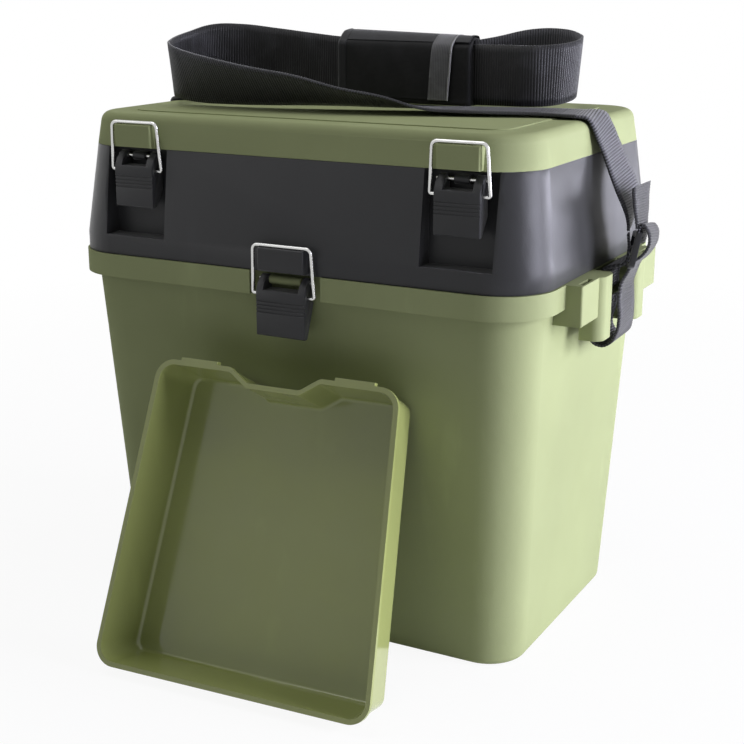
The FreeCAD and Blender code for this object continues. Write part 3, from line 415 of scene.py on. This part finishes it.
def softened(node, width, segments=2):
    """A copy of a CAD piece, with its sharp edges rounded, that shows in its place."""
    piece = nodes[node].copy()
    piece.data = nodes[node].data.copy()
    piece.name = node + "_soft"
    bpy.context.scene.collection.objects.link(piece)
    mesh = bmesh.new()
    mesh.from_mesh(piece.data)
    bmesh.ops.remove_doubles(mesh, verts=mesh.verts, dist=1e-6)
    bmesh.ops.dissolve_limit(mesh, angle_limit=math.radians(0.5), verts=mesh.verts,
                             edges=mesh.edges, delimit={"NORMAL"})
    mesh.to_mesh(piece.data)
    mesh.free()
    piece.data.shade_smooth()
    bevel = piece.modifiers.new("soft_edges", "BEVEL")
    bevel.width = width
    bevel.segments = segments
    bevel.limit_method = "ANGLE"
    bevel.angle_limit = SHARPER_THAN
    bevel.harden_normals = True
    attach(piece, body_of(nodes[node])[0])
    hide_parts(node)
    return piece


softened("case", 0.0006)
softened("lid", 0.0005)
for side in ("left", "right", "centre"):
    softened("latch_lever_" + side, 0.0009)
BUCKLE_LEAN = 0.30
BUCKLE_MIDDLE_Z = 0.297
for side, out in (("left", -1), ("right", 1)):
    buckle = softened("strap_buckle_" + side, 0.0011, segments=3)
    for vertex in buckle.data.vertices:
        vertex.co.x += out * BUCKLE_LEAN * (vertex.co.z - BUCKLE_MIDDLE_Z)

# %% [markdown]
# ## Webbing
# The strap is one long woven band. On the lid it stands on its edge in two open loops, as it was
# laid down; at each side it runs over the lid's edge to a buckle, and from there round the lug's
# bar and back, folds over the buckle, and its free tail stands up behind the fold. A cloth
# simulation would lose its ribs, so it is modelled directly: two smooth lines for its edges, and a
# grid stretched between them, with six rows for each rib so that the ribs stand up.

# %% Webbing: its two edges
STRAP_TOP = (
    ((170.9, -12.6, 389.7), (161.5, 31.4, 390.3)), ((143.0, -17.0, 390.6), (130.0, 26.0, 390.4)),
    ((113.7, -28.8, 391.2), (101.0, 14.0, 390.6)), ((90.2, -36.3, 391.6), (75.0, 6.0, 390.6)),
    ((66.7, -45.7, 393.5), (50.0, -4.0, 390.4)), ((40.0, -55.2, 401.5), (25.0, -14.0, 390.6)),
    ((7.9, -64.7, 407.4), (-5.0, -24.0, 391.2)), ((-25.0, -70.7, 415.2), (-35.0, -33.0, 391.2)),
    ((-60.0, -73.0, 420.0), (-65.0, -41.0, 390.6)), ((-93.0, -72.0, 425.0), (-95.0, -45.0, 390.2)),
    ((-126.0, -66.0, 430.4), (-125.0, -46.0, 390.4)), ((-144.0, -57.5, 434.0), (-145.0, -44.0, 392.4)),
    ((-156.0, -39.0, 437.0), (-160.0, -30.0, 394.0)), ((-159.0, -9.0, 442.0), (-164.0, -7.0, 397.8)),
    ((-151.5, 15.0, 447.0), (-154.5, 14.0, 402.0)), ((-134.0, 28.5, 447.0), (-135.0, 28.0, 402.0)),
    ((-105.0, 36.0, 444.0), (-106.0, 36.0, 399.0)), ((-70.0, 38.0, 440.5), (-72.0, 38.0, 395.5)),
    ((-45.0, 37.0, 438.5), (-46.0, 37.0, 393.5)), ((15.0, 32.0, 436.5), (15.0, 32.0, 391.5)),
    ((73.0, 26.5, 435.5), (73.0, 26.5, 390.9)), ((100.0, 22.0, 436.0), (100.0, 22.5, 391.4)),
    ((120.0, 20.5, 436.0), (120.0, 21.0, 391.8)), ((135.0, 28.0, 436.5), (134.0, 28.0, 392.2)),
    ((145.0, 44.0, 438.0), (142.5, 43.0, 394.0)), ((146.5, 62.0, 440.5), (143.5, 60.0, 396.5)),
    ((138.0, 79.0, 443.0), (135.5, 77.0, 398.5)), ((122.0, 90.0, 445.5), (121.0, 89.0, 401.0)),
    ((96.0, 92.0, 445.0), (97.0, 92.0, 400.0)), ((68.0, 86.0, 439.0), (69.0, 88.0, 394.2)),
    ((38.0, 72.0, 432.0), (36.0, 88.0, 390.4)), ((5.0, 54.0, 417.0), (-2.0, 89.0, 390.2)),
    ((-32.0, 52.0, 402.0), (-38.0, 95.0, 390.4)), ((-74.0, 46.0, 393.2), (-68.0, 90.6, 390.2)),
    ((-114.0, 29.0, 390.6), (-100.0, 71.8, 390.2)), ((-145.0, 6.0, 390.3), (-132.6, 49.3, 390.3)),
    ((-170.9, -12.6, 389.7), (-161.5, 31.4, 390.3)),
)
STRAP_SIDE = (
    ((171.2, -12.5, 389.6), (161.8, 31.5, 390.2)), ((178.9, -9.5, 387.9), (169.0, 34.5, 390.4)),
    ((182.2, -7.5, 382.2), (175.8, 37.0, 389.0)), ((185.4, -6.5, 374.5), (180.6, 38.0, 381.9)),
    ((189.5, -6.1, 366.1), (186.4, 38.6, 370.0)), ((197.5, -9.0, 350.1), (195.0, 35.6, 355.4)),
    ((204.0, -9.8, 336.4), (202.5, 35.0, 340.5)), ((209.0, -10.2, 326.9), (204.8, 34.6, 326.7)),
    ((212.4, -11.4, 318.6), (203.2, 31.4, 313.6)), ((214.0, -13.5, 312.1), (200.8, 28.7, 305.0)),
)
STRAP_LOOP = (
    ((214.2, -13.8, 310.6), (200.9, 28.4, 303.5)), ((215.6, -15.3, 298.9), (202.2, 27.0, 291.9)),
    ((213.4, -16.4, 289.0), (202.0, 27.0, 287.2)), ((204.0, -17.2, 286.0), (200.0, 27.2, 285.8)),
    ((197.4, -17.4, 283.0), (197.0, 27.4, 283.0)), ((195.2, -17.4, 276.0), (195.2, 27.4, 276.0)),
    ((195.0, -17.4, 262.0), (195.0, 27.4, 262.0)), ((192.6, -17.4, 247.0), (193.4, 27.4, 247.0)),
    ((189.8, -17.4, 237.0), (191.6, 27.4, 238.0)), ((191.0, -17.0, 230.4), (193.6, 27.6, 231.0)),
    ((196.6, -16.6, 227.0), (199.0, 28.0, 227.8)), ((203.6, -16.2, 228.6), (204.4, 28.2, 230.4)),
    ((208.8, -16.2, 236.5), (206.8, 28.4, 238.0)), ((211.0, -16.6, 247.0), (207.4, 28.2, 248.0)),
    ((210.4, -17.4, 264.0), (207.0, 27.2, 262.0)), ((211.6, -17.0, 275.0), (206.4, 27.6, 268.6)),
    ((215.4, -15.8, 283.0), (208.6, 28.6, 276.8)), ((218.4, -14.8, 290.0), (211.2, 29.6, 283.6)),
    ((223.6, -13.0, 294.4), (215.4, 31.0, 287.8)), ((228.2, -12.2, 301.0), (219.8, 31.6, 294.4)),
    ((229.2, -12.8, 308.5), (222.4, 30.9, 301.8)),
    ((226.8, -14.0, 315.4), (221.4, 29.8, 309.4)), ((223.9, -14.6, 317.0), (218.6, 29.2, 311.4)),
    ((222.0, -14.8, 313.0), (215.8, 28.8, 307.2)), ((221.9, -14.8, 304.0), (213.2, 28.8, 297.5)),
)
STRAP_TAIL = (
    ((220.9, -15.6, 314.6), (214.4, 28.6, 309.4)), ((220.3, -16.6, 320.6), (214.4, 28.0, 316.0)),
    ((219.6, -18.4, 327.5), (215.2, 26.2, 323.5)), ((219.4, -22.0, 336.0), (216.0, 22.8, 333.6)),
    ((219.8, -25.2, 344.6), (217.4, 19.6, 343.6)),
)
for guides in (STRAP_TOP, STRAP_SIDE, STRAP_LOOP, STRAP_TAIL):
    print("webbing edges:", len(guides), "pairs of points")


def edge_line(points, steps=40):
    """A smooth line through the points, as many small steps, in metres."""
    curve = bpy.data.curves.new("edge_line", "CURVE")
    curve.dimensions = "3D"
    spline = curve.splines.new("BEZIER")
    spline.bezier_points.add(len(points) - 1)
    for knot, point in zip(spline.bezier_points, points):
        knot.co = Vector(point) / 1000
    for knot in spline.bezier_points:
        knot.handle_left_type = knot.handle_right_type = "AUTO"
    line = []
    for a, b in zip(spline.bezier_points[:-1], spline.bezier_points[1:]):
        run = interpolate_bezier(a.co, a.handle_right, b.handle_left, b.co, steps + 1)
        line += [Vector(p) for p in run[:-1]]
    line.append(Vector(points[-1]) / 1000)
    bpy.data.curves.remove(curve)
    return line


# %% [markdown]
# The band is laid between its two lines in equal steps along its middle, so that every rib is as
# wide as the next. The ribs are a sine wave on both faces. They grow flatter at the edges, where
# the real band is woven tighter. The band rides on the lid, and where it passes a hinge it is blended
# from the lower body to the upper one over a short height.

# %% Webbing: a ribbed band between its edges
WEB_THICK = 0.0017
RIB_PITCH = 0.0021
RIB_HEIGHT = 0.00034
ROWS_PER_RIB = 6
COLUMNS = 8
EDGE_RIB = 0.35
BEND_X = 0.2
SIDE_BEND = (0.345, 0.375)
LOOP_BEND = (0.268, 0.292)


def stations(guides, step):
    """Pairs of edge points a fixed step apart along the band's middle."""
    near, far = (edge_line([pair[n] for pair in guides]) for n in (0, 1))
    middle = [(a + b) / 2 for a, b in zip(near, far)]
    run = [0.0]
    for a, b in zip(middle, middle[1:]):
        run.append(run[-1] + (b - a).length)
    count = round(run[-1] / step)
    found, k = [], 0
    for n in range(count + 1):
        want = run[-1] * n / count
        while k < len(run) - 2 and run[k + 1] < want:
            k += 1
        t = (want - run[k]) / (run[k + 1] - run[k])
        found.append((near[k].lerp(near[k + 1], t), far[k].lerp(far[k + 1], t)))
    return found, run[-1]


def webbing(name, guides, *nodes_replaced):
    """The ribbed band along the guides, which shows in place of those nodes."""
    pairs, length = stations(guides, RIB_PITCH / ROWS_PER_RIB)
    rows = len(pairs) - 1
    mesh = bmesh.new()
    bmesh.ops.create_grid(mesh, x_segments=rows, y_segments=COLUMNS, size=1.0)
    uv = mesh.loops.layers.uv.new("along_and_across")
    spot = {v: ((v.co.x + 1) / 2, (v.co.y + 1) / 2) for v in mesh.verts}
    for vertex, (u, v) in spot.items():
        n = round(u * rows)
        near, far = pairs[n]
        before, after = pairs[max(n - 1, 0)], pairs[min(n + 1, rows)]
        ahead = (after[0] + after[1]) - (before[0] + before[1])
        face = ahead.cross(far - near).normalized()
        share = EDGE_RIB if v in (0.0, 1.0) else 1.0
        rib = RIB_HEIGHT * share * math.sin(math.tau * n / ROWS_PER_RIB)
        vertex.co = near.lerp(far, v) + face * rib
    for corner in (loop for f in mesh.faces for loop in f.loops):
        u, v = spot[corner.vert]
        corner[uv].uv = ((u * rows / ROWS_PER_RIB + 0.25) / RIBS_PER_UNIT, v)
    piece = new_piece(name, mesh)
    wall = piece.modifiers.new("thickness", "SOLIDIFY")
    wall.thickness = WEB_THICK
    wall.offset = 0.0
    piece.data.materials.append(finishes["webbing"])
    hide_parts(*nodes_replaced)
    print(name, round(length, 3), "m,", rows, "rows")
    return piece


def flipped(guides):
    """The guides on the other side of the box."""
    return tuple(tuple((-x, y, z) for x, y, z in pair) for pair in guides)


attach(webbing("webbing_top", STRAP_TOP, "strap_top"), "lid")
for side, turn in (("right", tuple), ("left", flipped)):
    x = BEND_X if side == "right" else -BEND_X
    over = webbing("webbing_side_" + side, turn(STRAP_SIDE), "strap_side_" + side)
    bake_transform(over, "case", "lid", start=(x, 0.0, SIDE_BEND[0]), end=(x, 0.0, SIDE_BEND[1]))
    loop = webbing("webbing_loop_" + side, turn(STRAP_LOOP), "strap_loop_" + side)
    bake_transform(loop, "bucket", "case", start=(x, 0.0, LOOP_BEND[0]), end=(x, 0.0, LOOP_BEND[1]))
    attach(webbing("webbing_tail_" + side, turn(STRAP_TAIL), "strap_loop_" + side), "case")

# %% [markdown]
# ## Shoulder pad
# A stuffed strip of cloth folded over the webbing, closed with a flap that is wrapped round it.
# First its outline across the strap, an upturned U, is drawn as one face and extruded along the
# strap. Planes cut it into even quads of about 4 mm, because cloth needs an even mesh. Then it is
# leant and tapered into its place. Only the corners' points are written down; the operators make
# the rest.

# %% Shoulder pad: its plain form
PAD_X, PAD_LONG = -42.0, 117.0
PAD_Y, PAD_SLANT = 36.6, 10.3
PAD_Z = 390.0
PAD_HALF = 9.6
SLOT_HALF, SLOT_HIGH = 1.9, 49.6
PAD_SECTION = (
    (-PAD_HALF, 0.0), (-PAD_HALF, 44.0), (0.0, 51.6), (PAD_HALF, 53.0), (PAD_HALF, 0.0),
    (SLOT_HALF, 0.0), (SLOT_HALF, SLOT_HIGH), (-SLOT_HALF, SLOT_HIGH), (-SLOT_HALF, 0.0),
)
PAD_THINS, PAD_DROPS, PAD_LEANS, PAD_RISES = 0.05, 0.045, 0.28, 0.6


def cut_across(mesh, axis, places):
    for place in places:
        at = Vector([place if k == axis else 0.0 for k in range(3)])
        facing = Vector([1.0 if k == axis else 0.0 for k in range(3)])
        bmesh.ops.bisect_plane(mesh, geom=mesh.verts[:] + mesh.edges[:] + mesh.faces[:],
                               plane_co=at, plane_no=facing, dist=1e-5)


def plain_pad():
    """The folded strip, straight and in millimetres: along x from 0, across y, and up from 0."""
    mesh = bmesh.new()
    ring = [mesh.verts.new((0.0, y, z)) for y, z in PAD_SECTION]
    made = bmesh.ops.extrude_face_region(mesh, geom=[mesh.faces.new(ring)])
    moved = [item for item in made["geom"] if isinstance(item, bmesh.types.BMVert)]
    bmesh.ops.translate(mesh, verts=moved, vec=(PAD_LONG, 0.0, 0.0))
    top = [e for e in mesh.edges if e.calc_length() > 100 and e.verts[0].co.z > 40
           and abs(e.verts[0].co.y) > 5]
    bmesh.ops.bevel(mesh, geom=top, affect="EDGES", offset=1.8, segments=3, profile=0.5, material=-1)
    cut_across(mesh, 0, [PAD_LONG * n / 30 for n in range(1, 30)])
    cut_across(mesh, 2, [4.0 * n for n in range(1, 11)])
    cut_across(mesh, 1, (-5.8, 5.8))
    bmesh.ops.recalc_face_normals(mesh, faces=mesh.faces)
    return mesh


def pad_place(spot):
    """A point of the straight pad, in its place on the strap, in metres."""
    along = spot.x / PAD_LONG
    across = spot.y * (1.0 - PAD_THINS * along)
    lean = PAD_LEANS * along * (spot.y / PAD_HALF) * spot.z / 10.0
    high = spot.z * (1.0 - PAD_DROPS * along) - lean
    middle = PAD_Y - PAD_SLANT * along
    return Vector((PAD_X + spot.x, middle + across, PAD_Z + PAD_RISES * along + high)) / 1000


mesh = plain_pad()
straight = [vertex.co.copy() for vertex in mesh.verts]
for vertex in mesh.verts:
    vertex.co = pad_place(vertex.co)
pad = new_piece("pad_sleeve", mesh)
print("pad:", len(straight), "points,", [round(side * 1000) for side in pad.dimensions], "mm")

# %% [markdown]
# The stuffing is a cloth simulation with a little pressure inside and no gravity. The points of the
# slot, the lower hems and two sewn lines near the ends are pinned, so the cloth swells only between
# them. Then no point may end further than a small cap from its start, which keeps the pad clear of
# the strap.

# %% Shoulder pad: stuffing
HEM = 8.0
PUFF_CAP = 0.0016
PRESSURE = 4.0
LAST_FRAME = 20


def is_sewn(spot):
    ends = min(spot.x, PAD_LONG - spot.x)
    return abs(spot.y) < 2.5 or spot.z < 1.0 or ends < 1.0 or abs(ends - HEM) < 2.0


sewn = pad.vertex_groups.new(name="sewn")
sewn.add([n for n, spot in enumerate(straight) if is_sewn(spot)], 1.0, "REPLACE")
cloth_step = pad.modifiers.new("stuffing", "CLOTH")
cloth_step.settings.vertex_group_mass = "sewn"
cloth_step.settings.use_pressure = True
cloth_step.settings.uniform_pressure_force = PRESSURE
cloth_step.settings.effector_weights.gravity = 0.0
cloth_step.settings.quality = 6
before = [vertex.co.copy() for vertex in pad.data.vertices]
for frame_number in range(1, LAST_FRAME + 1):
    bpy.context.scene.frame_set(frame_number)
swollen = pad.evaluated_get(bpy.context.evaluated_depsgraph_get())
after = [vertex.co.copy() for vertex in swollen.data.vertices]
pad.modifiers.clear()
bpy.context.scene.frame_set(1)
for vertex, start, end in zip(pad.data.vertices, before, after):
    step = end - start
    vertex.co = start + step * min(1.0, PUFF_CAP / max(step.length, 1e-9))
print("stuffed: moved up to", round(max((b - a).length for a, b in zip(before, after)) * 1000, 2))
mesh = bmesh.new()
mesh.from_mesh(pad.data)
bmesh.ops.subdivide_edges(mesh, edges=mesh.edges, cuts=1, use_grid_fill=True, smooth=0.6)
mesh.to_mesh(pad.data)
pad.data.shade_smooth()
pad.data.materials.append(finishes["pad_cloth"])
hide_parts("shoulder_pad")
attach(pad, "lid")

# %% [markdown]
# The flap, its hem tape and the bindings at the left end and on top are sheets that lie on the
# stuffed pad, and so is a narrow pale strip at the flap's end, a painted highlight of its lit edge.
# So each is a part of the pad's own surface: the outer faces are kept, two planes trim them to
# length and a third to height, and a Solidify modifier gives them their thickness, outwards.

# %% Shoulder pad: flap, hem tape and binding
def faces_out(face):
    middle = face.calc_center_median() * 1000
    line = PAD_Y - PAD_SLANT * (middle.x - PAD_X) / PAD_LONG
    return abs(middle.y - line) > 5.0 and abs(face.normal.y) > 0.35 or face.normal.z > 0.3


LEANS_ABOUT_Z = 0.41


def wrapped(name, shell, ends, low, lift, thick, finish, lean=0.0):
    """A sheet over the pad between two ends, which may lean, from a height up and over the top."""
    mesh = shell.copy()
    bmesh.ops.delete(mesh, geom=[f for f in mesh.faces if not faces_out(f)], context="FACES")
    for place, facing in ((ends[0], -1.0), (ends[1], 1.0)):
        bmesh.ops.bisect_plane(mesh, geom=mesh.verts[:] + mesh.edges[:] + mesh.faces[:], dist=1e-7,
                               plane_co=(place / 1000, 0.0, LEANS_ABOUT_Z),
                               plane_no=(facing, 0.0, -lean * facing), clear_outer=True)
    bmesh.ops.bisect_plane(mesh, geom=mesh.verts[:] + mesh.edges[:] + mesh.faces[:], dist=1e-7,
                           plane_co=(0.0, 0.0, low / 1000), plane_no=(0.0, 0.0, -1.0), clear_outer=True)
    for vertex in mesh.verts:
        vertex.co += vertex.normal * lift / 1000
    sheet = new_piece(name, mesh)
    wall = sheet.modifiers.new("thickness", "SOLIDIFY")
    wall.thickness = thick / 1000
    wall.offset = 1.0
    sheet.data.materials.append(finish)
    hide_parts("shoulder_pad")
    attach(sheet, "lid")
    print(name, len(sheet.data.polygons), "faces")


FLAP_END = 59.2
FLAP_LEAN = 0.08
# The width of the pale strip at the flap's end, a painted highlight of its lit edge.
EDGE_HIGHLIGHT_WIDE = 1.4
HEM_TAPE_END = 17.5
BINDING_END = PAD_X + HEM - 0.6
mesh.normal_update()
wrapped("pad_flap", mesh, (PAD_X + 4.0, FLAP_END), low=394.0, lift=0.15, thick=1.1,
        finish=finishes["pad_cloth"], lean=FLAP_LEAN)
wrapped("pad_hem_tape", mesh, (FLAP_END - HEM_TAPE_END, FLAP_END - EDGE_HIGHLIGHT_WIDE), low=393.4, lift=1.3,
        thick=0.5, finish=finishes["pad_tape"], lean=FLAP_LEAN)
# A narrow pale strip at the flap's end: a painted highlight of its lit edge.
wrapped("pad_hem_edge_highlight", mesh, (FLAP_END - EDGE_HIGHLIGHT_WIDE, FLAP_END), low=393.4, lift=1.3, thick=0.7,
        finish=finishes["pad_edge_highlight"], lean=FLAP_LEAN)
wrapped("pad_binding_left", mesh, (PAD_X - 0.4, BINDING_END), low=391.0, lift=0.15, thick=1.4,
        finish=finishes["pad_tape_dark"])
wrapped("pad_binding_top", mesh, (BINDING_END, PAD_X + PAD_LONG - 1.0), low=435.8, lift=1.3, thick=0.4,
        finish=finishes["pad_tape_dark"])
mesh.free()
